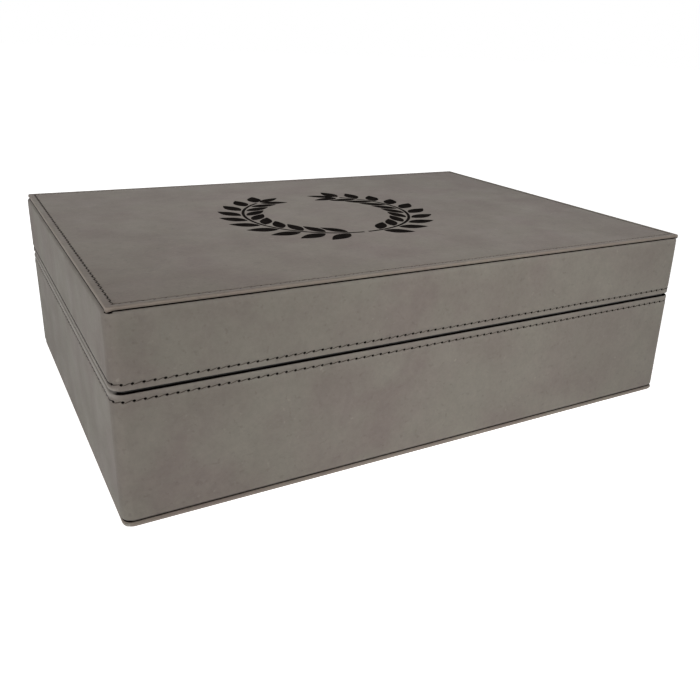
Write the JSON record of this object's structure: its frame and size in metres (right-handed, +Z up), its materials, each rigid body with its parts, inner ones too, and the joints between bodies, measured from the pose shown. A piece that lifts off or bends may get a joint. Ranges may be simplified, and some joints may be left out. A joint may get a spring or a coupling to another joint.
{
  "type": "leatherette gift box",
  "caption": "Low rectangular hinged box wrapped in grey stitched leatherette, with a lined inside for papers and keepsakes.",
  "frame": {"origin": "centre of the underside, the face that the box rests on", "axes": "+X along the front to the right, +Y towards the hinges at the back, +Z up"},
  "size_m": [0.3, 0.2246, 0.0916],
  "materials": {
    "leatherette": "matt nubuck-like grain",
    "fibreboard": "raw",
    "card": "raw greyboard",
    "lining": "soft microsuede",
    "hinge_metal": "satin nickel plate",
    "magnet": "bright nickel plate"
  },
  "bodies": {
    "base": {"base_front_board": "fibreboard", "base_right_board": "fibreboard", "base_back_board": "fibreboard", "base_left_board": "fibreboard", "base_floor_board": "fibreboard", "base_wrap": "leatherette", "base_rim_cloth": "lining", "base_panel_core": "card", "base_panel_cover": "leatherette", "base_front_lining": "lining", "base_right_lining": "lining", "base_back_lining": "lining", "base_left_lining": "lining", "base_floor_pad": "lining", "base_magnet_left": "magnet", "base_magnet_right": "magnet", "hinge_left_base_leaf": "hinge_metal", "hinge_left_base_screw_1": "hinge_metal", "hinge_left_base_screw_2": "hinge_metal", "hinge_left_pin": "hinge_metal", "hinge_right_base_leaf": "hinge_metal", "hinge_right_base_screw_1": "hinge_metal", "hinge_right_base_screw_2": "hinge_metal", "hinge_right_pin": "hinge_metal"},
    "lid": {"lid_front_board": "fibreboard", "lid_right_board": "fibreboard", "lid_back_board": "fibreboard", "lid_left_board": "fibreboard", "lid_top_board": "fibreboard", "lid_wrap": "leatherette", "lid_rim_cloth": "lining", "lid_panel_core": "card", "lid_panel_cover": "leatherette", "lid_front_lining": "lining", "lid_right_lining": "lining", "lid_back_lining": "lining", "lid_left_lining": "lining", "lid_ceiling_pad": "lining", "lid_magnet_left": "magnet", "lid_magnet_right": "magnet", "hinge_left_lid_leaf": "hinge_metal", "hinge_left_lid_screw_1": "hinge_metal", "hinge_left_lid_screw_2": "hinge_metal", "hinge_right_lid_leaf": "hinge_metal", "hinge_right_lid_screw_1": "hinge_metal", "hinge_right_lid_screw_2": "hinge_metal"}
  },
  "joints": [
    {"name": "lid_hinge", "type": "hinge", "parent": "base", "child": "lid", "pos_m": [0, 0.11225, 0.0581], "axis": [-1, 0, 0], "range_deg": [0, 95]}
  ]
}
